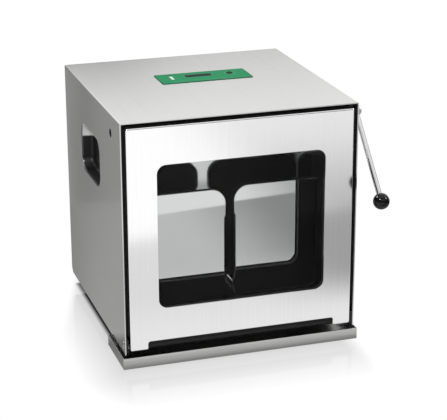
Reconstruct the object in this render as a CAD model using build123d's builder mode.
from build123d import *
import math
import os

# A laboratory paddle blender. A bag with a sample hangs behind the fold-down front door, and two
# flat paddles beat it in turn against the inside of that door. A twin-throw crank drives them
# through slotted yokes. Front is -Y, right is +X, up is +Z, and everything is in millimetres.
# The origin is the middle of the whole outline, lever included, at the height of the bench.

os.makedirs("parts", exist_ok=True)

# ------------------------------------------------------------------ driving dimensions
# Body: one sheet wrapped over both sides and the top
BODY_W = 440.0                # over the side panels
BODY_D = 435.0                # front rim to rear panel
BODY_H = 457.5                # bench to the cover's top
PANEL_BASE = 26.0             # bench to the cover's lower edge
COVER_SHEET = 2.0
COVER_BEND = 3.0              # outer radius of the two long bends
REAR_CHAMFER = 9.0            # cut corner, low at the rear of each side panel

# Door: a folded pan hinged at its lower edge
DOOR_MARGIN = 9.2             # gap line between door and cover, all round
DOOR_PROUD = 4.1              # door face ahead of the front rim
DOOR_FOLD = 15.0              # depth of the pan
DOOR_SHEET = 1.2
DOOR_BEND = 2.4
DOOR_CORNER = 3.0
DOOR_BASE = 33.0              # bench to the lower end of the legs
LEG_W = 33.8
NOTCH_H = 14.5                # height of the notch between the legs
NOTCH_CORNER = 4.0            # rounded inner corners of the notch
WINDOW_SIDE = 54.0            # door edge to window, both sides
WINDOW_TOP = 70.1             # door's top edge to window
WINDOW_BASE = 110.0           # bench to window
WINDOW_CORNER = 17.0
PANE_T = 5.0
PANE_LAP = 12.0               # pane hidden behind the skin, each side
DOOR_INNER_T = 13.3           # door's moulded inner frame
PANE_SEAL = 1.0
HINGE_BACK = 10.5             # hinge axis behind the front rim
HINGE_Z = 38.0
HINGE_PIN_D = 8.0
HINGE_BAR_D = 16.0
SCREW_UP = 8.5                # cover screw above the hinge axis
SCREW_D = 3.0
SCREW_HEAD_D = 5.0

# Chamber
CHAMBER_SIDE = 27.5           # cover's outer face to the lining's inner face
CHAMBER_FLOOR = 62.0
CHAMBER_TOP = 73.0            # cover's top down to the lining's inner face
CHAMBER_BACK = 157.0          # front rim to the polished rear wall
CHAMBER_CORNER = 12.0
LINER_SHEET = 1.5
FRAME_BACK = 15.0             # front rim to the front frame's face
FRAME_SHEET = 2.0
FRAME_FOLD = 18.0
FRAME_BASE = 54.0
WALL_T = 5.0                  # mechanism wall behind the paddles

# Paddles and their drive
PADDLE_GAP = 18.3             # between the two paddles
PADDLE_SIDE = 3.35            # paddle to lining
PADDLE_H = 226.0
PADDLE_T = 10.0
PADDLE_LIFT = 11.0            # lining floor to the paddle's lower edge
PADDLE_CORNER = 28.0
PADDLE_FRONT = 69.0           # front rim to the paddles' mean front face
CRANK_R = 18.0
CRANK_REST = 12.8             # degrees of crank turn at rest, from the throws upright
STROKE_SHIFT = 3.2            # rest pose from the middle of the stroke
DRIVE_ROD_D = 20.0
GUIDE_ROD_D = 18.0
GUIDE_ROD_IN = 21.0           # guide rod's axis from the middle of the body
GUIDE_ROD_UP = 19.0           # guide rod's axis above the paddle's lower edge
SHAFT_D = 20.0                # crankshaft
CRANK_PIN_D = 14.0
ROLLER_D = 24.0
SLOT_SLACK = 4.2              # roller to slot wall, each side
YOKE_T = 24.0
BUSH_L = 30.0
MOTOR_D = 104.0
MOTOR_DROP = 45.0             # motor axis below the crankshaft

# Locking lever
LEVER_BACK = 68.0             # lever axis behind the front rim
LEVER_DROP = 34.5             # cover's top down to the lever's axis
LEVER_LENGTH = 186.0          # axis to the ball's centre
LEVER_LEAN = 43.7             # degrees forward of hanging straight down
LEVER_OUT = 22.6              # right side panel to the rod's axis
LEVER_ROD_D = 10.0
LEVER_SHAFT_D = 12.0
BALL_D = 30.0
LOCK_TURN = 44.0              # degrees from released to locked
STRIKER_BACK = 32.0           # striker pin behind the front rim, door shut
STRIKER_DROP = 52.5           # cover's top down to the striker pin
STRIKER_IN = 38.5             # hook's mid-plane from the side panel's outer face
STRIKER_D = 6.0

# Drip tray, under the front of the body
TRAY_SIDE = 5.2               # tray beyond the body, each side
TRAY_FRONT = 6.4              # tray ahead of the front rim
TRAY_D = 115.5
TRAY_H = 21.8
TRAY_SHEET = 1.2
TRAY_BEND = 1.8

# Hand recesses, one in each side panel
GRIP_FROM = 156.0             # front rim to the recess
GRIP_L = 146.0
GRIP_H = 93.0
GRIP_TOP = 75.5               # cover's top down to the recess
GRIP_CORNER = 27.0
GRIP_DEPTH = 22.0
GRIP_WALL = 2.0

# Control panel, let into the top
PANEL_L = 178.0
PANEL_W = 68.0
PANEL_T = 0.8
PANEL_OFF = 11.0              # panel's middle to the right of the body's
PANEL_BACK = 230.0            # front rim to the panel
DISPLAY_L, DISPLAY_W = 48.0, 13.5
LENS_L, LENS_W = 5.0, 22.0
DISPLAY_OFF, DISPLAY_IN = -8.0, 42.5   # display's middle from the panel's middle and front edge
BUTTON_OFF = 54.5             # button's middle to the right of the panel's, in line with the display
LENS_OFF, LENS_IN = -61.0, 38.5
PANEL_LAP = 1.0               # cover's cut-outs beyond the display and the lens, each side
BUTTON_D = 12.0
BUTTON_TRAVEL = 1.0

# Undercarriage and rear
PAN_SHEET = 2.0
PAN_LIFT = 22.5               # bench to the underside of the base pan
PAN_FROM = 28.0               # front rim to the base pan
FOOT_D = 36.0
REAR_SHEET = 1.5
REAR_PROUD = 3.8              # rocker's raised half behind the rear panel
VENT_L, VENT_W = 56.0, 7.0    # cooling slots, rear panel
DRAIN_L, DRAIN_W = 250.0, 24.0         # slot in the chamber's floor
DRAIN_FROM = 40.0             # front rim to that slot
CHUTE_WALL = 1.2
CHUTE_EXIT = 16.0             # width of the chute's lower end
CHUTE_LEAN = 2.0              # lower end behind the upper one

# Clearances
RUN = 0.05                    # running fit, on the radius
FREE = 0.3                    # between pieces that only pass each other
SEAT = 0.2                    # drop-in pieces within the door

# ------------------------------------------------------------------ where the body stands
BALL_AHEAD = LEVER_LENGTH * math.sin(math.radians(LEVER_LEAN)) + BALL_D / 2 - LEVER_BACK
LEFT = -(BODY_W + LEVER_OUT + BALL_D / 2 - TRAY_SIDE) / 2
RIGHT = LEFT + BODY_W
MID = LEFT + BODY_W / 2
FRONT = (BALL_AHEAD - BODY_D - REAR_PROUD) / 2
BACK = FRONT + BODY_D
TOP = BODY_H
INNER_L, INNER_R, INNER_TOP = LEFT + COVER_SHEET, RIGHT - COVER_SHEET, TOP - COVER_SHEET
INNER_W = INNER_R - INNER_L
LEVER_Z, STRIKER_Z = TOP - LEVER_DROP, TOP - STRIKER_DROP
SHAFT_BUSH_D = LEVER_SHAFT_D + 4.0

HINGE_Y = FRONT + HINGE_BACK
LEVER_Y = FRONT + LEVER_BACK
DOOR_FACE = FRONT - DOOR_PROUD
DOOR_REAR = DOOR_FACE + DOOR_FOLD
DOOR_L, DOOR_R, DOOR_TOP = LEFT + DOOR_MARGIN, RIGHT - DOOR_MARGIN, TOP - DOOR_MARGIN
NOTCH_Z = DOOR_BASE + NOTCH_H
WINDOW_W = BODY_W - 2 * (DOOR_MARGIN + WINDOW_SIDE)
WINDOW_H = DOOR_TOP - WINDOW_TOP - WINDOW_BASE
WINDOW_Z = WINDOW_BASE + WINDOW_H / 2

CHAMBER_W = BODY_W - 2 * CHAMBER_SIDE
CHAMBER_H = TOP - CHAMBER_TOP - CHAMBER_FLOOR
CHAMBER_Z = CHAMBER_FLOOR + CHAMBER_H / 2
FRAME_Y = FRONT + FRAME_BACK
LINER_FROM = FRAME_Y + FRAME_SHEET
WALL_Y = FRONT + CHAMBER_BACK
WALL_REAR = WALL_Y + WALL_T
PAN_TOP = PAN_LIFT + PAN_SHEET
DRAIN_Y = FRONT + DRAIN_FROM + DRAIN_W / 2
SPOUT_Y = DRAIN_Y + CHUTE_LEAN

PANEL_X, PANEL_Y = MID + PANEL_OFF, FRONT + PANEL_BACK
DISPLAY_X, DISPLAY_Y = PANEL_X + DISPLAY_OFF, PANEL_Y + DISPLAY_IN
BUTTON_X, BUTTON_Y = PANEL_X + BUTTON_OFF, DISPLAY_Y
LENS_X, LENS_Y = PANEL_X + LENS_OFF, PANEL_Y + LENS_IN

PADDLE_W = (CHAMBER_W - PADDLE_GAP - 2 * PADDLE_SIDE) / 2
PADDLE_OUT = (PADDLE_GAP + PADDLE_W) / 2
PADDLE_Z0 = CHAMBER_FLOOR + PADDLE_LIFT
CRANK_Z = PADDLE_Z0 + PADDLE_H / 2
GUIDE_Z = PADDLE_Z0 + GUIDE_ROD_UP
STROKE_OUT, STROKE_IN = CRANK_R + STROKE_SHIFT, CRANK_R - STROKE_SHIFT
PHASE = CRANK_R * math.sin(math.radians(CRANK_REST))
THROW_Z = CRANK_R * math.cos(math.radians(CRANK_REST))
SLOT_W = ROLLER_D + 2 * SLOT_SLACK
SLOT_H = 2 * CRANK_R + ROLLER_D + 8.0
YOKE_WALL = 10.0
YOKE_D = SLOT_W + 2 * YOKE_WALL
YOKE_H = SLOT_H + 2 * (YOKE_WALL + 2.0)
YOKE_BOSS = 10.0
BUSH_REAR = WALL_Y + BUSH_L
CRANK_Y = BUSH_REAR + 2.4 + STROKE_OUT - PHASE + YOKE_BOSS + YOKE_D / 2


# ------------------------------------------------------------------ shared forms
def across(y):
    """Plane that faces the front at depth y: sketch x is X, sketch y is Z, and -amount goes back."""
    return Plane.XZ.offset(-y)


def beside(x):
    """Plane that faces right at x: sketch x is Y, sketch y is Z, and +amount goes right."""
    return Plane.YZ.offset(x)


def bar_x(x, length, y, z, diameter, mode=Mode.ADD):
    """Round bar, or with Mode.SUBTRACT a bore, from x to x + length."""
    with BuildSketch(beside(x)) as end:
        with Locations((y, z)):
            Circle(diameter / 2)
    extrude(end.sketch, amount=length, mode=mode)


def bar_y(y, length, x, z, diameter, mode=Mode.ADD):
    """Round bar or bore from y to y + length."""
    with BuildSketch(across(y)) as end:
        with Locations((x, z)):
            Circle(diameter / 2)
    extrude(end.sketch, amount=-length, mode=mode)


def bar_z(z, length, x, y, diameter, mode=Mode.ADD):
    """Round bar or bore from z to z + length."""
    with BuildSketch(Plane.XY.offset(z)) as end:
        with Locations((x, y)):
            Circle(diameter / 2)
    extrude(end.sketch, amount=length, mode=mode)


def block(x, y, z, mode=Mode.ADD):
    """Rectangular block between two corners, each of x, y and z being a (low, high) pair."""
    with Locations([((x[0] + x[1]) / 2, (y[0] + y[1]) / 2, (z[0] + z[1]) / 2)]):
        Box(x[1] - x[0], y[1] - y[0], z[1] - z[0], mode=mode)


def folded_pan(builder, open_side, sheet, bend):
    """Turns a builder's solid into sheet metal: bends on the closed side, open on the other."""
    fillet(builder.faces().sort_by(open_side)[0].edges(), bend)
    offset(amount=-sheet, openings=builder.faces().sort_by(open_side)[-1])


def finish_piece(builder, name, *beside_it):
    """Labels a finished piece and writes its file; further builders join it as solids apart."""
    piece = builder.part
    if beside_it:
        piece = Compound([solid for b in (builder, *beside_it) for solid in b.part.solids()])
    piece.label = name
    export_step(piece, f"parts/{name}.step")


SIDES = ((-1, "left"), (1, "right"))


# ------------------------------------------------------------------ cover, frame and chamber
with BuildPart() as outer_cover:
    with BuildSketch(across(FRONT)) as wrap:
        with Locations((MID, (PANEL_BASE + TOP) / 2)):
            Rectangle(BODY_W, TOP - PANEL_BASE)
        fillet(wrap.vertices().group_by(Axis.Y)[-1], COVER_BEND)
        with Locations((MID, (PANEL_BASE + INNER_TOP) / 2)):
            Rectangle(INNER_W, INNER_TOP - PANEL_BASE, mode=Mode.SUBTRACT)
        inner_corners = wrap.vertices().filter_by_position(Axis.Y, INNER_TOP - 0.1, INNER_TOP + 0.1)
        fillet(inner_corners, COVER_BEND - COVER_SHEET)
    extrude(amount=-BODY_D)
    chamfer(outer_cover.edges().filter_by(Axis.X).group_by(Axis.Z)[0].group_by(Axis.Y)[-1],
            REAR_CHAMFER)
    with BuildSketch(beside(LEFT)) as side_holes:
        with Locations((FRONT + GRIP_FROM + GRIP_L / 2, TOP - GRIP_TOP - GRIP_H / 2)):
            RectangleRounded(GRIP_L, GRIP_H, GRIP_CORNER)
        with Locations((LEVER_Y, LEVER_Z)):
            Circle(SHAFT_BUSH_D / 2)
        with Locations((HINGE_Y, HINGE_Z)):
            Circle(HINGE_PIN_D / 2)
        with Locations((HINGE_Y, HINGE_Z + SCREW_UP)):
            Circle(SCREW_D / 2)
    extrude(amount=BODY_W, mode=Mode.SUBTRACT)
    with BuildSketch(Plane.XY.offset(INNER_TOP)) as top_holes:
        with Locations((DISPLAY_X, DISPLAY_Y)):
            Rectangle(DISPLAY_L + 2 * PANEL_LAP, DISPLAY_W + 2 * PANEL_LAP)
        with Locations((BUTTON_X, BUTTON_Y)):
            Circle(BUTTON_D / 2 + FREE)
        with Locations((LENS_X, LENS_Y)):
            Rectangle(LENS_L + 2 * PANEL_LAP, LENS_W + 2 * PANEL_LAP)
    extrude(amount=COVER_SHEET, mode=Mode.SUBTRACT)
finish_piece(outer_cover, "outer_cover")

SHEET_CORNER, SHEET_BEND = 4.0, 3.0    # outline corners and bends of the folded inner sheets
HOOK_SLOT_W, HOOK_SLOT_H = 21.0, 17.0  # where the strikers pass through the front frame
with BuildPart() as front_frame:
    with BuildSketch(across(FRAME_Y)) as frame_outline:
        with Locations((MID, (FRAME_BASE + INNER_TOP) / 2)):
            RectangleRounded(INNER_W, INNER_TOP - FRAME_BASE, SHEET_CORNER)
    extrude(amount=-FRAME_FOLD)
    folded_pan(front_frame, Axis.Y, FRAME_SHEET, SHEET_BEND)
    with BuildSketch(across(FRAME_Y)) as frame_holes:
        with Locations((MID, CHAMBER_Z)):
            RectangleRounded(CHAMBER_W, CHAMBER_H, CHAMBER_CORNER)
        with Locations((LEFT + STRIKER_IN, STRIKER_Z), (RIGHT - STRIKER_IN, STRIKER_Z)):
            RectangleRounded(HOOK_SLOT_W, HOOK_SLOT_H, 2.0)
    extrude(amount=-FRAME_SHEET, mode=Mode.SUBTRACT)
finish_piece(front_frame, "front_frame")

with BuildPart() as chamber_liner:
    with BuildSketch(across(LINER_FROM)) as liner_section:
        with Locations((MID, CHAMBER_Z)):
            RectangleRounded(CHAMBER_W + 2 * LINER_SHEET, CHAMBER_H + 2 * LINER_SHEET,
                             CHAMBER_CORNER + LINER_SHEET)
            RectangleRounded(CHAMBER_W, CHAMBER_H, CHAMBER_CORNER, mode=Mode.SUBTRACT)
    extrude(amount=-(WALL_Y - LINER_FROM))
    with BuildSketch(Plane.XY.offset(CHAMBER_FLOOR - LINER_SHEET)) as drain_slot:
        with Locations((MID, DRAIN_Y)):
            RectangleRounded(DRAIN_L, DRAIN_W, DRAIN_W / 4)
    extrude(amount=LINER_SHEET, mode=Mode.SUBTRACT)
finish_piece(chamber_liner, "chamber_liner")

CHUTE_LAP = 4.0               # chute's mouth beyond the drain slot, each side
with BuildPart() as drain_chute:
    for shrink, mode in ((0.0, Mode.ADD), (CHUTE_WALL, Mode.SUBTRACT)):
        with BuildSketch(Plane.XY.offset(CHAMBER_FLOOR - LINER_SHEET)) as mouth:
            with Locations((MID, DRAIN_Y)):
                Rectangle(DRAIN_L + 2 * (CHUTE_LAP - shrink), DRAIN_W + 2 * (CHUTE_LAP - shrink))
        with BuildSketch(Plane.XY.offset(PAN_LIFT)) as spout:
            with Locations((MID, SPOUT_Y)):
                Rectangle(DRAIN_L - 2 * shrink, CHUTE_EXIT - 2 * shrink)
        loft([mouth.sketch.face(), spout.sketch.face()], mode=mode)
finish_piece(drain_chute, "drain_chute")

ROD_BUSH_D, BUSH_FLANGE_D, BUSH_FLANGE_T = 30.0, 40.0, 5.0
RODS = []                     # x, z and diameter of the four paddle rods
for side, _ in SIDES:
    RODS.append((MID + side * PADDLE_OUT, CRANK_Z, DRIVE_ROD_D))
    RODS.append((MID + side * GUIDE_ROD_IN, GUIDE_Z, GUIDE_ROD_D))

WALL_RISE, WALL_FLANGE = 16.0, 22.0    # wall above the chamber, and its foot on the base pan
with BuildPart() as mechanism_wall:
    with BuildSketch(across(WALL_Y)) as wall_outline:
        wall_top = CHAMBER_Z + CHAMBER_H / 2 + WALL_RISE
        with Locations((MID, (PAN_TOP + wall_top) / 2)):
            Rectangle(CHAMBER_W + 2 * LINER_SHEET, wall_top - PAN_TOP)
        with Locations([(x, z) for x, z, _ in RODS]):
            Circle(ROD_BUSH_D / 2, mode=Mode.SUBTRACT)
    extrude(amount=-WALL_T)
    block((MID - CHAMBER_W / 2, MID + CHAMBER_W / 2), (WALL_REAR, WALL_REAR + WALL_FLANGE),
          (PAN_TOP, PAN_TOP + WALL_T))
finish_piece(mechanism_wall, "mechanism_wall")

with BuildPart() as rod_bushes:
    for x, z, rod_d in RODS:
        bar_y(WALL_Y, BUSH_L, x, z, ROD_BUSH_D)
        bar_y(WALL_REAR, BUSH_FLANGE_T, x, z, BUSH_FLANGE_D)
        bar_y(WALL_Y, BUSH_L, x, z, rod_d + 2 * RUN, Mode.SUBTRACT)
finish_piece(rod_bushes, "rod_bushes")

SEAL_T = 6.0
with BuildPart() as rod_seals:
    for x, z, rod_d in RODS:
        with BuildSketch(Plane(origin=(x, WALL_Y, z), x_dir=(1, 0, 0), z_dir=(0, 0, 1))) as lip:
            with BuildLine():
                # half section of a wiper seal: it narrows to a lip at the chamber side
                Polyline((rod_d / 2 + FREE, 0), (ROD_BUSH_D / 2 + 2.0, 0),
                         (ROD_BUSH_D / 2 + 2.0, -SEAL_T / 2), (rod_d / 2 + 2.6, -SEAL_T),
                         (rod_d / 2 + FREE, -SEAL_T), close=True)
            make_face()
        revolve(lip.sketch, axis=Axis((x, WALL_Y, z), (0, 1, 0)))
finish_piece(rod_seals, "rod_seals")

# ------------------------------------------------------------------ hand recesses
grip_y, grip_z = FRONT + GRIP_FROM + GRIP_L / 2, TOP - GRIP_TOP - GRIP_H / 2
grip_shapes = []              # the cup's outside, then the hollow that the fingers reach into
for wall, bend in ((0.0, 9.0), (GRIP_WALL, 7.0)):
    with BuildPart() as grip_shape:
        with BuildSketch(beside(INNER_L)) as grip_mouth:
            with Locations((grip_y, grip_z)):
                RectangleRounded(GRIP_L - 2 * wall, GRIP_H - 2 * wall, GRIP_CORNER - wall)
        extrude(amount=GRIP_DEPTH - wall, taper=8)
        fillet(grip_shape.faces().sort_by(Axis.X)[-1].edges(), bend)
    grip_shapes.append(grip_shape.part)

with BuildPart() as handle_cup_left:
    add(grip_shapes[0])
    with BuildSketch(beside(INNER_L)) as grip_flange:
        with Locations((grip_y, grip_z)):
            RectangleRounded(GRIP_L + 14.0, GRIP_H + 14.0, GRIP_CORNER + 7.0)
    extrude(amount=GRIP_WALL)
    add(grip_shapes[1], mode=Mode.SUBTRACT)
finish_piece(handle_cup_left, "handle_cup_left")

with BuildPart() as handle_cup_right:
    mirror(handle_cup_left.part, about=Plane.YZ.offset(MID), mode=Mode.ADD)
finish_piece(handle_cup_right, "handle_cup_right")

# ------------------------------------------------------------------ base, feet and rear
FOOT_IN, FOOT_FRONT, FOOT_REAR = 45.0, 132.0, 32.0
FEET = [(x, y) for x in (LEFT + FOOT_IN, RIGHT - FOOT_IN)
        for y in (FRONT + FOOT_FRONT, BACK - FOOT_REAR)]
FOOT_BEVEL, FOOT_TAPER = 2.5, 3.0
PAN_REAR = BACK - REAR_CHAMFER - 1.0
PAN_FOLD = 10.0
with BuildPart() as base_pan:
    with BuildSketch(Plane.XY.offset(PAN_LIFT)) as pan_outline:
        with Locations((MID, (FRONT + PAN_FROM + PAN_REAR) / 2)):
            Rectangle(INNER_W, PAN_REAR - FRONT - PAN_FROM)
    extrude(amount=PAN_SHEET + PAN_FOLD)
    folded_pan(base_pan, Axis.Z, PAN_SHEET, SHEET_BEND)
    with BuildSketch(Plane.XY.offset(PAN_LIFT)) as pan_holes:
        with Locations((MID, SPOUT_Y)):
            Rectangle(DRAIN_L + CHUTE_LAP, CHUTE_EXIT + CHUTE_LAP)
        with Locations((MID, BACK - 60.0)):
            with GridLocations(VENT_L + 10.0, VENT_W + 9.0, 2, 3):
                SlotOverall(VENT_L, VENT_W)
    extrude(amount=PAN_SHEET, mode=Mode.SUBTRACT)
finish_piece(base_pan, "base_pan")

with BuildPart() as feet:
    for x, y in FEET:
        with BuildSketch(Plane(origin=(x, y, 0), x_dir=(1, 0, 0), z_dir=(0, -1, 0))) as foot_half:
            with BuildLine():
                # half section of a foot: a bevelled tread, then a slight taper up to the pan
                Polyline((0, 0), (FOOT_D / 2 - FOOT_BEVEL, 0), (FOOT_D / 2, FOOT_BEVEL),
                         (FOOT_D / 2 - FOOT_TAPER, PAN_LIFT), (0, PAN_LIFT), close=True)
            make_face()
        revolve(foot_half.sketch, axis=Axis((x, y, 0), (0, 0, 1)))
finish_piece(feet, "feet")

REAR_BASE = PANEL_BASE + REAR_CHAMFER
INLET_X, INLET_Z = RIGHT - 74.0, 84.0
SWITCH_Z = INLET_Z + 44.0
INLET_W, INLET_H = 27.0, 20.0
SWITCH_W, SWITCH_H = 19.0, 27.0
REAR_FOLD = 14.0
with BuildPart() as rear_panel:
    with BuildSketch(across(BACK)) as rear_outline:
        with Locations((MID, (REAR_BASE + INNER_TOP) / 2)):
            RectangleRounded(INNER_W, INNER_TOP - REAR_BASE, SHEET_CORNER)
    extrude(amount=REAR_FOLD)
    fillet(rear_panel.faces().sort_by(Axis.Y)[-1].edges(), SHEET_BEND)
    offset(amount=-REAR_SHEET, openings=rear_panel.faces().sort_by(Axis.Y)[0])
    with BuildSketch(across(BACK)) as rear_holes:
        with Locations((MID, TOP - 110.0), (MID - 60.0, REAR_BASE + 90.0)):
            with GridLocations(VENT_L + 12.0, 2 * VENT_W, 2, 5):
                SlotOverall(VENT_L, VENT_W)
        with Locations((INLET_X, INLET_Z)):
            RectangleRounded(INLET_W, INLET_H, 3.0)
        with Locations((INLET_X, SWITCH_Z)):
            Rectangle(SWITCH_W, SWITCH_H)
    extrude(amount=REAR_SHEET, mode=Mode.SUBTRACT)
finish_piece(rear_panel, "rear_panel")

SCREW_INSET = 9.0
REAR_HEAD_D, REAR_HEAD_T = 8.0, 2.2
rear_screw_spots = [(x, z) for x in (INNER_L + SCREW_INSET, MID, INNER_R - SCREW_INSET)
                    for z in (REAR_BASE + SCREW_INSET, INNER_TOP - SCREW_INSET)]
rear_screw_spots += [(x, (REAR_BASE + INNER_TOP) / 2)
                     for x in (INNER_L + SCREW_INSET, INNER_R - SCREW_INSET)]
with BuildPart() as rear_screws:
    for x, z in rear_screw_spots:
        bar_y(BACK, REAR_HEAD_T, x, z, REAR_HEAD_D)
finish_piece(rear_screws, "rear_screws")

with BuildPart() as power_inlet:
    block((INLET_X - 24.0, INLET_X + 24.0), (BACK, BACK + 3.0), (INLET_Z - 14.0, INLET_Z + 14.0))
    fillet(power_inlet.edges().filter_by(Axis.Y), 5.0)
    block((INLET_X - INLET_W / 2, INLET_X + INLET_W / 2), (BACK - 24.0, BACK),
          (INLET_Z - INLET_H / 2, INLET_Z + INLET_H / 2))
    fillet(power_inlet.edges().filter_by(Axis.Y).group_by(SortBy.LENGTH)[-1], 3.0)
    with BuildSketch(across(BACK + 3.0)) as socket_mouth:
        with BuildLine():
            # the usual six-sided appliance inlet: both upper corners are cut
            Polyline((INLET_X - 11.5, INLET_Z - 7.5), (INLET_X + 11.5, INLET_Z - 7.5),
                     (INLET_X + 11.5, INLET_Z + 2.5), (INLET_X + 6.5, INLET_Z + 7.5),
                     (INLET_X - 6.5, INLET_Z + 7.5), (INLET_X - 11.5, INLET_Z + 2.5), close=True)
        make_face()
    extrude(amount=18.0, mode=Mode.SUBTRACT)
finish_piece(power_inlet, "power_inlet")

ROCKER_TILT = 7.0             # degrees each side of level; the rest pose is "off"
ROCKER_Y = BACK - 3.0         # rocker's pivot
with BuildPart() as switch_housing:
    block((INLET_X - 12.0, INLET_X + 12.0), (BACK, BACK + 1.5),
          (SWITCH_Z - 16.0, SWITCH_Z + 16.0))
    fillet(switch_housing.edges().filter_by(Axis.Y), 2.0)
    block((INLET_X - SWITCH_W / 2, INLET_X + SWITCH_W / 2), (BACK - 22.0, BACK),
          (SWITCH_Z - SWITCH_H / 2, SWITCH_Z + SWITCH_H / 2))
    block((INLET_X - SWITCH_W / 2 + 1.5, INLET_X + SWITCH_W / 2 - 1.5), (BACK - 10.0, BACK + 1.5),
          (SWITCH_Z - SWITCH_H / 2 + 1.5, SWITCH_Z + SWITCH_H / 2 - 1.5), Mode.SUBTRACT)
    bar_x(INLET_X - 9.0, 18.0, ROCKER_Y, SWITCH_Z, 3.0 + 2 * RUN, Mode.SUBTRACT)
finish_piece(switch_housing, "switch_housing")

with BuildPart() as power_rocker:
    with BuildSketch(beside(INLET_X - 7.5)) as rocker_side:
        with BuildLine():
            half = SWITCH_H / 2 - 1.5 - 1.0
            # a shallow V seen from the side, pressed in at its upper half while off
            Polyline((ROCKER_Y - 3.0, SWITCH_Z - half + 2.0), (ROCKER_Y + 5.5, SWITCH_Z - half),
                     (ROCKER_Y + 4.2, SWITCH_Z), (ROCKER_Y + 5.5, SWITCH_Z + half),
                     (ROCKER_Y - 3.0, SWITCH_Z + half - 2.0), close=True)
        make_face()
    extrude(amount=15.0)
    bar_x(INLET_X - 8.8, 17.6, ROCKER_Y, SWITCH_Z, 3.0)
rocker_turned = power_rocker.part.rotate(Axis((0, ROCKER_Y, SWITCH_Z), (1, 0, 0)), ROCKER_TILT)
with BuildPart() as power_rocker_off:
    add(rocker_turned)
finish_piece(power_rocker_off, "power_rocker")

# ------------------------------------------------------------------ door
LEG_BUSH_D = HINGE_PIN_D + 3.0
with BuildPart() as door_skin:
    with BuildSketch(across(DOOR_FACE)) as door_outline:
        with BuildLine():
            notch_l, notch_r = DOOR_L + LEG_W, DOOR_R - LEG_W
            Polyline((DOOR_L, DOOR_TOP), (DOOR_L, DOOR_BASE), (notch_l, DOOR_BASE),
                     (notch_l, NOTCH_Z), (notch_r, NOTCH_Z), (notch_r, DOOR_BASE),
                     (DOOR_R, DOOR_BASE), (DOOR_R, DOOR_TOP), close=True)
        make_face()
        fillet(door_outline.vertices().filter_by_position(Axis.Y, NOTCH_Z - 1.0, NOTCH_Z + 1.0),
               NOTCH_CORNER)
        fillet(door_outline.vertices().group_by(Axis.Y)[0], DOOR_CORNER)
        fillet(door_outline.vertices().group_by(Axis.Y)[-1], DOOR_CORNER)
    extrude(amount=-DOOR_FOLD)
    folded_pan(door_skin, Axis.Y, DOOR_SHEET, DOOR_BEND)
    with BuildSketch(across(DOOR_FACE)) as door_holes:
        with Locations((MID, WINDOW_Z)):
            RectangleRounded(WINDOW_W, WINDOW_H, WINDOW_CORNER)
    extrude(amount=-DOOR_BEND, mode=Mode.SUBTRACT)
    for inset, bore in ((DOOR_SHEET, HINGE_BAR_D + 2 * SEAT), (-1.0, LEG_BUSH_D)):
        # round at the front and open to the rear, however deep the pan is folded
        bore_x = (DOOR_L + inset, DOOR_R - inset)
        bar_x(bore_x[0], bore_x[1] - bore_x[0], HINGE_Y, HINGE_Z, bore, Mode.SUBTRACT)
        block(bore_x, (HINGE_Y, DOOR_REAR + 1.0), (HINGE_Z - bore / 2, HINGE_Z + bore / 2),
              Mode.SUBTRACT)
finish_piece(door_skin, "door_skin")

PANE_Y = DOOR_FACE + DOOR_SHEET
INNER_BACK = PANE_Y + DOOR_INNER_T     # rear face of the door's inner frame
with BuildPart() as window_pane:
    with BuildSketch(across(PANE_Y)) as pane_outline:
        with Locations((MID, WINDOW_Z)):
            RectangleRounded(WINDOW_W + 2 * PANE_LAP, WINDOW_H + 2 * PANE_LAP,
                             WINDOW_CORNER + 5.0)
    extrude(amount=-PANE_T)
finish_piece(window_pane, "window_pane")

with BuildPart() as window_seal:
    with BuildSketch(across(PANE_Y + PANE_T)) as seal_outline:
        with Locations((MID, WINDOW_Z)):
            RectangleRounded(WINDOW_W + 2 * PANE_LAP, WINDOW_H + 2 * PANE_LAP,
                             WINDOW_CORNER + 5.0)
            RectangleRounded(WINDOW_W + 4.0, WINDOW_H + 4.0, WINDOW_CORNER + 2.0,
                             mode=Mode.SUBTRACT)
    extrude(amount=-PANE_SEAL)
finish_piece(window_seal, "window_seal")

with BuildPart() as door_inner_frame:
    inset = DOOR_SHEET + SEAT
    with BuildSketch(across(PANE_Y)) as inner_outline:
        with Locations((MID, (NOTCH_Z + DOOR_TOP + DOOR_SHEET + SEAT - inset) / 2)):
            RectangleRounded(DOOR_R - DOOR_L - 2 * inset, DOOR_TOP - NOTCH_Z - 2 * inset, 3.0)
    extrude(amount=-(INNER_BACK - PANE_Y))
    fillet(door_inner_frame.faces().sort_by(Axis.Y)[0].edges(), 1.4)
    with BuildSketch(across(PANE_Y)) as rebate:
        with Locations((MID, WINDOW_Z)):
            RectangleRounded(WINDOW_W + 2 * (PANE_LAP + SEAT), WINDOW_H + 2 * (PANE_LAP + SEAT),
                             WINDOW_CORNER + 5.0 + SEAT)
    extrude(amount=-(PANE_T + PANE_SEAL), mode=Mode.SUBTRACT)
    with BuildSketch(across(PANE_Y)) as lookout:
        with Locations((MID, WINDOW_Z)):
            RectangleRounded(WINDOW_W + 4.0, WINDOW_H + 4.0, WINDOW_CORNER + 2.0)
    extrude(amount=-(INNER_BACK - PANE_Y), mode=Mode.SUBTRACT)
finish_piece(door_inner_frame, "door_inner_frame")

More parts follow.
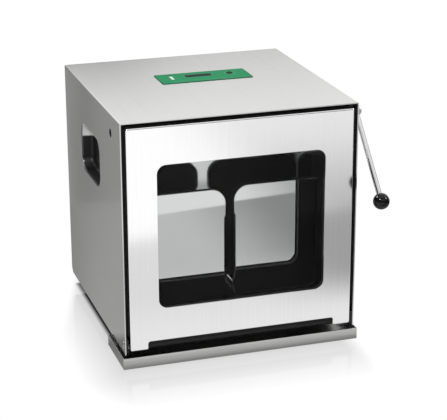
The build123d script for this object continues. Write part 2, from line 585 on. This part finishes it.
GASKET_W, GASKET_IN = 7.0, 2.0
with BuildPart() as door_gasket:
    with BuildSketch(across(INNER_BACK)) as gasket_outline:
        with Locations((MID, CHAMBER_Z)):
            RectangleRounded(CHAMBER_W + 2 * (GASKET_IN + GASKET_W),
                             CHAMBER_H + 2 * (GASKET_IN + GASKET_W),
                             CHAMBER_CORNER + GASKET_IN + GASKET_W)
            RectangleRounded(CHAMBER_W + 2 * GASKET_IN, CHAMBER_H + 2 * GASKET_IN,
                             CHAMBER_CORNER + GASKET_IN, mode=Mode.SUBTRACT)
    extrude(amount=-(FRAME_Y - FREE - INNER_BACK))
    chamfer(door_gasket.edges().group_by(Axis.Y)[-1], GASKET_W / 5)
finish_piece(door_gasket, "door_gasket")

BLOCK_W = LEG_W - 2 * (DOOR_SHEET + SEAT)
BLOCK_Y = DOOR_FACE + DOOR_BEND        # a hinge block starts behind the skin's inner bend
BLOCK_Z = (DOOR_BASE + DOOR_SHEET + 2 * SEAT, NOTCH_Z + DOOR_SHEET)
with BuildPart() as hinge_blocks:
    for side, _ in SIDES:
        outer_x = DOOR_L + DOOR_SHEET + SEAT if side < 0 else DOOR_R - DOOR_SHEET - SEAT - BLOCK_W
        with BuildSketch(beside(outer_x)) as knuckle:
            with Locations(((BLOCK_Y + INNER_BACK) / 2, (BLOCK_Z[0] + BLOCK_Z[1]) / 2)):
                Rectangle(INNER_BACK - BLOCK_Y, BLOCK_Z[1] - BLOCK_Z[0])
            chamfer(knuckle.vertices().group_by(Axis.X)[0], DOOR_SHEET)
            with Locations((HINGE_Y, HINGE_Z)):
                Circle(HINGE_BAR_D / 2)
                Circle(LEG_BUSH_D / 2, mode=Mode.SUBTRACT)
        extrude(knuckle.sketch, amount=BLOCK_W)
finish_piece(hinge_blocks, "hinge_blocks")

LEG_BUSH_L = 27.0
with BuildPart() as leg_bushes:
    for side, _ in SIDES:
        outer_x = DOOR_L - 1.0 if side < 0 else DOOR_R + 1.0
        bar_x(outer_x, -side * LEG_BUSH_L, HINGE_Y, HINGE_Z, LEG_BUSH_D)
        bar_x(outer_x, -side * 0.8, HINGE_Y, HINGE_Z, LEG_BUSH_D + 4.0)
        bar_x(outer_x, -side * LEG_BUSH_L, HINGE_Y, HINGE_Z, HINGE_PIN_D + 2 * RUN, Mode.SUBTRACT)
finish_piece(leg_bushes, "leg_bushes")

with BuildPart() as hinge_bar:
    bar_from = DOOR_L + DOOR_SHEET + SEAT + BLOCK_W
    bar_x(bar_from, 2 * (MID - bar_from), HINGE_Y, HINGE_Z, HINGE_BAR_D)
    chamfer(hinge_bar.edges().filter_by(GeomType.CIRCLE), 0.8)
finish_piece(hinge_bar, "hinge_bar")

PLATE_T, COLLAR_T = 5.0, 0.9
with BuildPart() as hinge_plates:
    for side, _ in SIDES:
        inner_x = INNER_L if side < 0 else INNER_R
        with BuildSketch(beside(inner_x)) as plate_outline:
            with Locations((FRONT + (PAN_FROM + 1.0) / 2, (PANEL_BASE + FRAME_BASE) / 2)):
                RectangleRounded(PAN_FROM - 2.0, FRAME_BASE - PANEL_BASE - 1.0, 3.0)
            with Locations((HINGE_Y, HINGE_Z)):
                Circle(HINGE_PIN_D / 2, mode=Mode.SUBTRACT)
            with Locations((HINGE_Y, HINGE_Z + SCREW_UP)):
                Circle(SCREW_D / 2, mode=Mode.SUBTRACT)
        extrude(plate_outline.sketch, amount=-side * PLATE_T)
finish_piece(hinge_plates, "hinge_plates")

with BuildPart() as hinge_pins:
    for side, _ in SIDES:
        face_x = LEFT - 0.8 if side < 0 else RIGHT + 0.8
        collar_x = INNER_L + PLATE_T if side < 0 else INNER_R - PLATE_T
        bar_x(face_x, -side * 35.0, HINGE_Y, HINGE_Z, HINGE_PIN_D)
        bar_x(collar_x, -side * COLLAR_T, HINGE_Y, HINGE_Z, HINGE_PIN_D + 6.0)
    chamfer(hinge_pins.edges().filter_by(GeomType.CIRCLE).group_by(Axis.X)[0], 0.8)
    chamfer(hinge_pins.edges().filter_by(GeomType.CIRCLE).group_by(Axis.X)[-1], 0.8)
finish_piece(hinge_pins, "hinge_pins")

with BuildPart() as cover_screws:
    for side, _ in SIDES:
        face_x = LEFT if side < 0 else RIGHT
        bar_x(face_x, side * 1.2, HINGE_Y, HINGE_Z + SCREW_UP, SCREW_HEAD_D)
        bar_x(face_x, -side * (COVER_SHEET + PLATE_T - 0.5), HINGE_Y, HINGE_Z + SCREW_UP, SCREW_D)
finish_piece(cover_screws, "cover_screws")

EAR_T, CLEVIS_W = 2.5, 17.5
with BuildPart() as door_strikers:
    for side, _ in SIDES:
        clevis_x = LEFT + STRIKER_IN if side < 0 else RIGHT - STRIKER_IN
        pin_y = FRONT + STRIKER_BACK
        block((clevis_x - CLEVIS_W / 2, clevis_x + CLEVIS_W / 2), (INNER_BACK, INNER_BACK + 2.0),
              (STRIKER_Z - 5.0, STRIKER_Z + 18.0))
        for ear_x in (clevis_x - CLEVIS_W / 2, clevis_x + CLEVIS_W / 2 - EAR_T):
            with BuildSketch(beside(ear_x)) as ear:
                with Locations(((INNER_BACK + pin_y) / 2, STRIKER_Z)):
                    Rectangle(pin_y - INNER_BACK, 10.0)
                with Locations((pin_y, STRIKER_Z)):
                    Circle(5.0)
            extrude(ear.sketch, amount=EAR_T)
        bar_x(clevis_x - CLEVIS_W / 2, CLEVIS_W, pin_y, STRIKER_Z, STRIKER_D, Mode.SUBTRACT)
with BuildPart() as striker_pins:
    for pin_x in (LEFT + STRIKER_IN, RIGHT - STRIKER_IN):
        bar_x(pin_x - CLEVIS_W / 2 - 0.5, CLEVIS_W + 1.0, FRONT + STRIKER_BACK, STRIKER_Z, STRIKER_D)
finish_piece(door_strikers, "door_strikers", striker_pins)

SENSOR_X, SENSOR_Z = MID - 90.0, TOP - 40.0
with BuildPart() as sensor_magnet:
    block((SENSOR_X - 10.0, SENSOR_X + 10.0), (INNER_BACK, INNER_BACK + 3.0),
          (SENSOR_Z - 6.0, SENSOR_Z + 6.0))
    fillet(sensor_magnet.edges().filter_by(Axis.Y), 2.0)
finish_piece(sensor_magnet, "sensor_magnet")

with BuildPart() as door_sensor:
    block((SENSOR_X - 14.0, SENSOR_X + 14.0), (LINER_FROM, LINER_FROM + 9.0),
          (SENSOR_Z - 8.0, SENSOR_Z + 8.0))
    fillet(door_sensor.edges().filter_by(Axis.Y), 3.0)
finish_piece(door_sensor, "door_sensor")

# ------------------------------------------------------------------ locking lever
SHAFT_END = RIGHT + 31.0
SHAFT_SUNK = 1.6              # shaft's left end within the side panel
HUB_COUNTER = 4.0             # depth to which the hub takes the full shaft
HUB_FROM, HUB_D, HUB_SEAT_D = RIGHT + 2.0, 18.0, 10.0
HUB_CAP = 2.0                 # closed end of the hub
with BuildPart() as lever_shaft:
    shaft_from = LEFT + SHAFT_SUNK
    shaft_step = HUB_FROM + HUB_COUNTER
    bar_x(shaft_from, shaft_step - shaft_from, LEVER_Y, LEVER_Z, LEVER_SHAFT_D)
    bar_x(shaft_step, SHAFT_END - shaft_step - HUB_CAP, LEVER_Y, LEVER_Z, HUB_SEAT_D)
    chamfer(lever_shaft.edges().filter_by(GeomType.CIRCLE).group_by(Axis.X)[0], 1.0)
finish_piece(lever_shaft, "lever_shaft")

SHAFT_BUSH_L, SHAFT_BUSH_FLANGE = 11.0, 3.0
with BuildPart() as shaft_bushes:
    for side, _ in SIDES:
        face_x = LEFT + 0.2 if side < 0 else RIGHT - 0.2
        flange_x = INNER_L if side < 0 else INNER_R
        bar_x(face_x, -side * SHAFT_BUSH_L, LEVER_Y, LEVER_Z, SHAFT_BUSH_D)
        bar_x(flange_x, -side * SHAFT_BUSH_FLANGE, LEVER_Y, LEVER_Z, SHAFT_BUSH_D + 8.0)
        bar_x(face_x, -side * SHAFT_BUSH_L, LEVER_Y, LEVER_Z, LEVER_SHAFT_D + 2 * RUN,
              Mode.SUBTRACT)
finish_piece(shaft_bushes, "shaft_bushes")

# The rod's own plane: its origin is on the lever's axis and its normal runs down the rod
lean = math.radians(LEVER_LEAN)
rod_plane = Plane(origin=(RIGHT + LEVER_OUT, LEVER_Y, LEVER_Z), x_dir=(1, 0, 0),
                  z_dir=(0, -math.sin(lean), -math.cos(lean)))
ROD_SEAT = HUB_SEAT_D / 2 + 0.5
with BuildPart() as lever_hub:
    bar_x(HUB_FROM, SHAFT_END - HUB_FROM, LEVER_Y, LEVER_Z, HUB_D)
    chamfer(lever_hub.edges().filter_by(GeomType.CIRCLE), 1.5)
    bar_x(HUB_FROM, HUB_COUNTER, LEVER_Y, LEVER_Z, LEVER_SHAFT_D, Mode.SUBTRACT)
    bar_x(HUB_FROM, SHAFT_END - HUB_FROM - HUB_CAP, LEVER_Y, LEVER_Z, HUB_SEAT_D, Mode.SUBTRACT)
    with BuildSketch(rod_plane.offset(ROD_SEAT)) as rod_socket:
        Circle(LEVER_ROD_D / 2)
    extrude(amount=HUB_D, mode=Mode.SUBTRACT)
finish_piece(lever_hub, "lever_hub")

BALL_GRIP = 3.0               # rod's end beyond the ball's centre
with BuildPart() as lever_rod:
    with BuildSketch(rod_plane.offset(ROD_SEAT)) as rod_end:
        Circle(LEVER_ROD_D / 2)
    extrude(amount=LEVER_LENGTH - ROD_SEAT + BALL_GRIP)
finish_piece(lever_rod, "lever_rod")

ball_centre = rod_plane.offset(LEVER_LENGTH).origin
ball_half = Plane(origin=ball_centre, x_dir=(1, 0, 0), z_dir=(0, math.cos(lean), -math.sin(lean)))
ball_r = BALL_D / 2
ball_flat = 1 - ball_r        # the ball is cut flat where the rod enters it
with BuildPart() as ball_knob:
    with BuildSketch(ball_half) as ball_section:
        with BuildLine():
            rim = math.sqrt(ball_r ** 2 - ball_flat ** 2)
            Polyline((0, ball_r), (0, BALL_GRIP), (LEVER_ROD_D / 2, BALL_GRIP),
                     (LEVER_ROD_D / 2, ball_flat), (rim, ball_flat))
            ThreePointArc((rim, ball_flat), (ball_r, 0), (0, ball_r))
        make_face()
    revolve(axis=Axis(ball_centre, rod_plane.z_dir))
finish_piece(ball_knob, "ball_knob")

HOOK_T, HOOK_PLAY, HOOK_LIP = 5.0, 1.2, 5.3
striker_reach = math.hypot(STRIKER_BACK - LEVER_BACK, STRIKER_Z - LEVER_Z)
striker_angle = math.atan2(STRIKER_Z - LEVER_Z, STRIKER_BACK - LEVER_BACK)
hook_angle = striker_angle - math.radians(LOCK_TURN)
striker_path = CenterArc((0, 0), striker_reach, 0, 30)   # as the turning hook sees the striker
with BuildPart() as latch_hooks:
    for side, _ in SIDES:
        hook_x = (LEFT + STRIKER_IN if side < 0 else RIGHT - STRIKER_IN) - HOOK_T / 2
        # sketch x runs from the shaft to where the hook's seat for the striker is at rest
        hook_plane = Plane(origin=(hook_x, LEVER_Y, LEVER_Z),
                           x_dir=(0, math.cos(hook_angle), math.sin(hook_angle)), z_dir=(1, 0, 0))
        with BuildSketch(hook_plane) as hook:
            Circle(LEVER_SHAFT_D / 2 + 7.0)
            with Locations((striker_reach, 0)):
                Circle(STRIKER_D / 2 + HOOK_PLAY + HOOK_LIP)
            make_hull()
            SlotArc(striker_path, STRIKER_D + 2 * HOOK_PLAY, mode=Mode.SUBTRACT)
            Circle(LEVER_SHAFT_D / 2, mode=Mode.SUBTRACT)
        extrude(hook.sketch, amount=HOOK_T)
finish_piece(latch_hooks, "latch_hooks")

# ------------------------------------------------------------------ control panel
with BuildPart() as control_overlay:
    with BuildSketch(Plane.XY.offset(TOP)) as overlay_outline:
        with Locations((PANEL_X, PANEL_Y + PANEL_W / 2)):
            RectangleRounded(PANEL_L, PANEL_W, 4.0)
        with Locations((DISPLAY_X, DISPLAY_Y)):
            Rectangle(DISPLAY_L, DISPLAY_W, mode=Mode.SUBTRACT)
        with Locations((BUTTON_X, BUTTON_Y)):
            Circle(BUTTON_D / 2 + FREE, mode=Mode.SUBTRACT)
        with Locations((LENS_X, LENS_Y)):
            Rectangle(LENS_L, LENS_W, mode=Mode.SUBTRACT)
    extrude(amount=PANEL_T)
finish_piece(control_overlay, "control_overlay")

with BuildPart() as display_window:
    block((DISPLAY_X - DISPLAY_L / 2, DISPLAY_X + DISPLAY_L / 2),
          (DISPLAY_Y - DISPLAY_W / 2, DISPLAY_Y + DISPLAY_W / 2), (TOP, TOP + PANEL_T))
finish_piece(display_window, "display_window")

with BuildPart() as status_lens:
    block((LENS_X - LENS_L / 2, LENS_X + LENS_L / 2), (LENS_Y - LENS_W / 2, LENS_Y + LENS_W / 2),
          (TOP, TOP + PANEL_T))
finish_piece(status_lens, "status_lens")

BOARD_T, BOARD_INSET = 1.6, 9.0        # circuit boards, and the control board within the panel
BOARD_Z = TOP - 18.0
KEY_Z = BOARD_Z + 6.0         # top of the key switch under the button
POST_D, POST_IN = 6.0, 5.0
with BuildPart() as control_board:
    board_x = (PANEL_X - PANEL_L / 2 + BOARD_INSET, PANEL_X + PANEL_L / 2 - BOARD_INSET)
    board_y = (PANEL_Y + BOARD_INSET - 3.0, PANEL_Y + PANEL_W - BOARD_INSET + 3.0)
    block(board_x, board_y, (BOARD_Z, BOARD_Z + BOARD_T))
    for x in (board_x[0] + POST_IN, board_x[1] - POST_IN):
        for y in (board_y[0] + POST_IN, board_y[1] - POST_IN):
            bar_z(BOARD_Z + BOARD_T, INNER_TOP - BOARD_Z - BOARD_T, x, y, POST_D)
    block((DISPLAY_X - DISPLAY_L / 2, DISPLAY_X + DISPLAY_L / 2),
          (DISPLAY_Y - DISPLAY_W / 2, DISPLAY_Y + DISPLAY_W / 2), (BOARD_Z + BOARD_T, TOP - SEAT))
    block((BUTTON_X - 5.0, BUTTON_X + 5.0), (BUTTON_Y - 5.0, BUTTON_Y + 5.0),
          (BOARD_Z + BOARD_T, KEY_Z))
finish_piece(control_board, "control_board")

BUTTON_RISE, BUTTON_SKIRT = 1.4, 3.0   # button above the panel, and down through the cover
with BuildPart() as start_button:
    bar_z(TOP - BUTTON_SKIRT, BUTTON_SKIRT + PANEL_T + BUTTON_RISE, BUTTON_X, BUTTON_Y, BUTTON_D)
    chamfer(start_button.edges().group_by(Axis.Z)[-1], 0.6)
    stem_from = KEY_Z + BUTTON_TRAVEL + FREE
    bar_z(stem_from, TOP - BUTTON_SKIRT - stem_from, BUTTON_X, BUTTON_Y, 5.0)
finish_piece(start_button, "start_button")

# ------------------------------------------------------------------ crank drive
WEB_T = 11.0
PIN_L = YOKE_T + 2 * 5.7      # between a throw's two webs
PEDESTAL_OUT = PADDLE_OUT + PIN_L / 2 + WEB_T + 16.0
PEDESTAL_T = 10.0
BEARING_D, BEARING_T = 47.0, 14.0


def throw_offset(side):
    """Crank pin's place from the crank's axis, at rest, as (y, z)."""
    return side * PHASE, -side * THROW_Z


with BuildPart() as crankshaft:
    for side, _ in SIDES:
        pin_dy, pin_dz = throw_offset(side)
        centre_x = MID + side * PADDLE_OUT
        for web_x in (centre_x - PIN_L / 2 - WEB_T, centre_x + PIN_L / 2):
            with BuildSketch(beside(web_x)) as web:
                with Locations((CRANK_Y, CRANK_Z)):
                    Circle(SHAFT_D / 2 + 8.0)
                with Locations((CRANK_Y + pin_dy, CRANK_Z + pin_dz)):
                    Circle(CRANK_PIN_D / 2 + 6.0)
                make_hull()
            extrude(web.sketch, amount=WEB_T)
        bar_x(centre_x - PIN_L / 2, PIN_L, CRANK_Y + pin_dy, CRANK_Z + pin_dz, CRANK_PIN_D)
        stub_from = centre_x + side * (PIN_L / 2 + WEB_T)
        stub_to = MID + side * (PEDESTAL_OUT + BEARING_T / 2 + 3.0)
        bar_x(stub_from, stub_to - stub_from, CRANK_Y, CRANK_Z, SHAFT_D)
    middle = PADDLE_OUT - PIN_L / 2 - WEB_T
    bar_x(MID - middle, 2 * middle, CRANK_Y, CRANK_Z, SHAFT_D)
finish_piece(crankshaft, "crankshaft")

ROLLER_L = YOKE_T + 6.0
with BuildPart() as crank_rollers:
    for side, _ in SIDES:
        pin_dy, pin_dz = throw_offset(side)
        roller_x = MID + side * PADDLE_OUT - ROLLER_L / 2
        bar_x(roller_x, ROLLER_L, CRANK_Y + pin_dy, CRANK_Z + pin_dz, ROLLER_D)
        bar_x(roller_x, ROLLER_L, CRANK_Y + pin_dy, CRANK_Z + pin_dz,
              CRANK_PIN_D + 2 * RUN, Mode.SUBTRACT)
    chamfer(crank_rollers.edges().filter_by(GeomType.CIRCLE).sort_by(SortBy.RADIUS)[-4:], 0.8)
finish_piece(crank_rollers, "crank_rollers")

with BuildPart() as crank_bearings:
    for side, _ in SIDES:
        with BuildSketch(Plane(origin=(MID + side * PEDESTAL_OUT, CRANK_Y, CRANK_Z),
                               x_dir=(0, 1, 0), z_dir=(0, 0, 1))) as race:
            # half section of a sealed ball bearing: the seals lie 1 mm below the rings' faces
            with Locations(((SHAFT_D / 2 + RUN + BEARING_D / 2) / 2, 0)):
                Rectangle(BEARING_D / 2 - SHAFT_D / 2 - RUN, BEARING_T)
                seal_w = BEARING_D / 2 - SHAFT_D / 2 - 7.0
                for face in (-1, 1):
                    with Locations((0, face * BEARING_T / 2)):
                        Rectangle(seal_w, 2.0, mode=Mode.SUBTRACT)
        revolve(race.sketch, axis=Axis((MID, CRANK_Y, CRANK_Z), (1, 0, 0)))
finish_piece(crank_bearings, "crank_bearings")

FOOT_T, PEDESTAL_L, PEDESTAL_FLANGE = 8.0, 110.0, 12.0
for side, name in SIDES:
    with BuildPart() as bearing_pedestal:
        web_x = MID + side * PEDESTAL_OUT - PEDESTAL_T / 2
        with BuildSketch(beside(web_x)) as pedestal_side:
            with Locations((CRANK_Y, CRANK_Z)):
                Circle(BEARING_D / 2 + 10.0)
            with Locations((CRANK_Y, PAN_TOP + FOOT_T / 2)):
                Rectangle(PEDESTAL_L, FOOT_T)
            make_hull()
            with Locations((CRANK_Y, CRANK_Z)):
                Circle(BEARING_D / 2, mode=Mode.SUBTRACT)
            with Locations((CRANK_Y, PAN_TOP + 55.0)):
                Circle(24.0, mode=Mode.SUBTRACT)
        extrude(amount=PEDESTAL_T)
        block((web_x - PEDESTAL_FLANGE, web_x + PEDESTAL_T + PEDESTAL_FLANGE),
              (CRANK_Y - PEDESTAL_L / 2, CRANK_Y + PEDESTAL_L / 2), (PAN_TOP, PAN_TOP + FOOT_T))
    finish_piece(bearing_pedestal, f"bearing_pedestal_{name}")

GEARBOX_W, GEARBOX_D = 84.0, 94.0
GEARBOX_TOP = CRANK_Z + 40.0
GEARBOX_BASE = CRANK_Z - MOTOR_DROP - 34.0
with BuildPart() as gearbox:
    block((MID - GEARBOX_W / 2, MID + GEARBOX_W / 2),
          (CRANK_Y - GEARBOX_D / 2, CRANK_Y + GEARBOX_D / 2), (GEARBOX_BASE, GEARBOX_TOP))
    fillet(gearbox.edges().filter_by(Axis.X), 18.0)
    for side in (-1, 1):
        bar_x(MID + side * GEARBOX_W / 2, side * 8.0, CRANK_Y, CRANK_Z, 62.0)
    bar_x(MID - GEARBOX_W, 2 * GEARBOX_W, CRANK_Y, CRANK_Z, SHAFT_D + 2 * RUN, Mode.SUBTRACT)
finish_piece(gearbox, "gearbox")

MOTOR_Z = CRANK_Z - MOTOR_DROP
MOTOR_FROM = CRANK_Y + GEARBOX_D / 2
MOTOR_END = BACK - 12.0       # motor clear of the rear panel
FLANGE_T, FAN_COWL = 10.0, 25.0
with BuildPart() as motor:
    bar_y(MOTOR_FROM, FLANGE_T, MID, MOTOR_Z, MOTOR_D)
    bar_y(MOTOR_FROM, MOTOR_END - MOTOR_FROM, MID, MOTOR_Z, MOTOR_D - 14.0)
    with BuildSketch(across(MOTOR_FROM + FLANGE_T)) as fins:
        with Locations((MID, MOTOR_Z)):
            with PolarLocations(MOTOR_D / 2 - 5.0, 16):
                Rectangle(9.0, 2.6)
    extrude(amount=-(MOTOR_END - MOTOR_FROM - FLANGE_T - FAN_COWL))
    bar_y(MOTOR_END - FAN_COWL, FAN_COWL, MID, MOTOR_Z, MOTOR_D)
    chamfer(motor.edges().filter_by(GeomType.CIRCLE).group_by(Axis.Y)[-1], 6.0)
    block((MID - 28.0, MID + 28.0), (MOTOR_FROM + FLANGE_T, MOTOR_END - FAN_COWL),
          (MOTOR_Z + MOTOR_D / 2 - 14.0, MOTOR_Z + MOTOR_D / 2 + 24.0))
finish_piece(motor, "motor")

BRACKET_T, BRACKET_W = 4.0, 104.0
with BuildPart() as motor_bracket:
    with BuildSketch(across(CRANK_Y - 38.0)) as bridge:
        with BuildLine():
            # a bridge with out-turned feet; the guide rods pass under it
            in_x, out_x = BRACKET_W / 2 - BRACKET_T, BRACKET_W / 2
            top_z, foot_z = GEARBOX_BASE, PAN_TOP
            Polyline((MID - out_x - 16.0, foot_z), (MID - in_x, foot_z),
                     (MID - in_x, top_z - BRACKET_T), (MID + in_x, top_z - BRACKET_T),
                     (MID + in_x, foot_z), (MID + out_x + 16.0, foot_z),
                     (MID + out_x + 16.0, foot_z + BRACKET_T), (MID + out_x, foot_z + BRACKET_T),
                     (MID + out_x, top_z), (MID - out_x, top_z),
                     (MID - out_x, foot_z + BRACKET_T), (MID - out_x - 16.0, foot_z + BRACKET_T),
                     close=True)
        make_face()
    extrude(amount=-76.0)
finish_piece(motor_bracket, "motor_bracket")

bolt_spots = []               # x, y and seat height of each hexagon head
for side, _ in SIDES:
    for reach in (-1, 1):
        for across_web in (-1, 1):
            bolt_spots.append((MID + side * PEDESTAL_OUT + across_web * 11.0,
                               CRANK_Y + reach * 44.0, PAN_TOP + FOOT_T))
        bolt_spots.append((MID + side * (BRACKET_W / 2 + 9.0), CRANK_Y + reach * 28.0,
                           PAN_TOP + BRACKET_T))
with BuildPart() as pan_bolts:
    for x, y, seat_z in bolt_spots:
        with BuildSketch(Plane.XY.offset(seat_z)) as head:
            with Locations((x, y)):
                RegularPolygon(5.0, 6, major_radius=False)
        extrude(head.sketch, amount=5.3)
finish_piece(pan_bolts, "pan_bolts")

# ------------------------------------------------------------------ paddles
RELIEF = 3.0                  # shallow step in each paddle's inner edge
RELIEF_TOP, RELIEF_BASE, RELIEF_SLANT = 174.0, 61.0, 17.0
GUIDE_ROD_L = 140.0
for side, name in SIDES:
    paddle_x = MID + side * PADDLE_OUT
    face_y = FRONT + PADDLE_FRONT + side * PHASE
    back_y = face_y + PADDLE_T
    with BuildPart() as paddle:
        with BuildSketch(across(face_y)) as blade:
            with Locations((paddle_x, CRANK_Z)):
                RectangleRounded(PADDLE_W, PADDLE_H, PADDLE_CORNER)
            edge_x = MID + side * PADDLE_GAP / 2
            with BuildLine():
                Polyline((edge_x, PADDLE_Z0 + RELIEF_TOP),
                         (edge_x + side * RELIEF, PADDLE_Z0 + RELIEF_TOP - RELIEF),
                         (edge_x + side * RELIEF, PADDLE_Z0 + RELIEF_BASE),
                         (edge_x, PADDLE_Z0 + RELIEF_BASE - RELIEF_SLANT), close=True)
            make_face(mode=Mode.SUBTRACT)
        extrude(amount=-PADDLE_T)
        chamfer(paddle.edges().group_by(Axis.Y)[0], 0.6)
        bar_y(back_y, 8.0, paddle_x, CRANK_Z, DRIVE_ROD_D + 20.0)
    finish_piece(paddle, f"paddle_{name}")

    with BuildPart() as drive_rod:
        rod_from = back_y + 8.0
        rod_to = CRANK_Y + side * PHASE - YOKE_D / 2 - YOKE_BOSS
        bar_y(rod_from, rod_to - rod_from, paddle_x, CRANK_Z, DRIVE_ROD_D)
        chamfer(drive_rod.edges().filter_by(GeomType.CIRCLE), 1.0)
    finish_piece(drive_rod, f"drive_rod_{name}")

    with BuildPart() as guide_rod:
        bar_y(back_y, GUIDE_ROD_L, MID + side * GUIDE_ROD_IN, GUIDE_Z, GUIDE_ROD_D)
        chamfer(guide_rod.edges().filter_by(GeomType.CIRCLE).group_by(Axis.Y)[-1], 1.0)
    finish_piece(guide_rod, f"guide_rod_{name}")

    with BuildPart() as yoke:
        with BuildSketch(beside(paddle_x - YOKE_T / 2)) as yoke_side:
            with Locations((CRANK_Y + side * PHASE, CRANK_Z)):
                RectangleRounded(YOKE_D, YOKE_H, 14.0)
                RectangleRounded(SLOT_W, SLOT_H, 6.0, mode=Mode.SUBTRACT)
        extrude(amount=YOKE_T)
        bar_y(CRANK_Y + side * PHASE - YOKE_D / 2 - YOKE_BOSS, YOKE_BOSS + 2.0, paddle_x, CRANK_Z,
              DRIVE_ROD_D + 12.0)
    finish_piece(yoke, f"yoke_{name}")

# ------------------------------------------------------------------ power board
# It stands beside the right pedestal, with all its parts in one row from front to back.
POWER_X = (MID + PEDESTAL_OUT + PEDESTAL_T / 2 + PEDESTAL_FLANGE + 5.0, INNER_R - 8.0)
POWER_Y, POWER_L, POWER_LIFT = WALL_REAR + WALL_FLANGE + 6.0, 150.0, 8.0
SINK_L, SINK_FINS = 50.0, 5
with BuildPart() as power_board:
    for x in (POWER_X[0] + POST_IN, POWER_X[1] - POST_IN):
        for y in (POWER_Y + POST_IN, POWER_Y + POWER_L - POST_IN):
            bar_z(PAN_TOP, POWER_LIFT, x, y, POST_D)
    board_top = PAN_TOP + POWER_LIFT + BOARD_T
    block(POWER_X, (POWER_Y, POWER_Y + POWER_L), (PAN_TOP + POWER_LIFT, board_top))
    for reach in (22.0, 48.0):
        bar_z(board_top, 40.0, (POWER_X[0] + POWER_X[1]) / 2, POWER_Y + reach, 22.0)
    sink_x = (POWER_X[0] + 6.0, POWER_X[1] - 6.0)
    sink_y = POWER_Y + POWER_L - 15.0 - SINK_L
    block(sink_x, (sink_y, sink_y + SINK_L), (board_top, board_top + 6.0))
    with Locations(((sink_x[0] + sink_x[1]) / 2, sink_y + SINK_L / 2, board_top + 18.0)):
        with GridLocations(0.0, (SINK_L - 2.0) / (SINK_FINS - 1), 1, SINK_FINS):
            Box(sink_x[1] - sink_x[0], 2.0, 24.0)
finish_piece(power_board, "power_board")

# ------------------------------------------------------------------ drip tray
with BuildPart() as drip_tray:
    with BuildSketch(Plane.XY) as tray_outline:
        with Locations((MID, FRONT - TRAY_FRONT + TRAY_D / 2)):
            Rectangle(BODY_W + 2 * TRAY_SIDE, TRAY_D)
    extrude(amount=TRAY_H)
    folded_pan(drip_tray, Axis.Z, TRAY_SHEET, TRAY_BEND)
finish_piece(drip_tray, "drip_tray")

print(f"left {LEFT:.2f} right {RIGHT:.2f} mid {MID:.2f} front {FRONT:.2f} back {BACK:.2f}")
print(f"hinge y {HINGE_Y:.2f} z {HINGE_Z:.2f}; lever y {LEVER_Y:.2f} z {LEVER_Z:.2f}")
print(f"crank y {CRANK_Y:.2f} z {CRANK_Z:.2f}; rocker y {ROCKER_Y:.2f} z {SWITCH_Z:.2f}")
print(f"paddle width {PADDLE_W:.2f}, crank phase {PHASE:.2f}, button {BUTTON_X:.2f} {BUTTON_Y:.2f}")
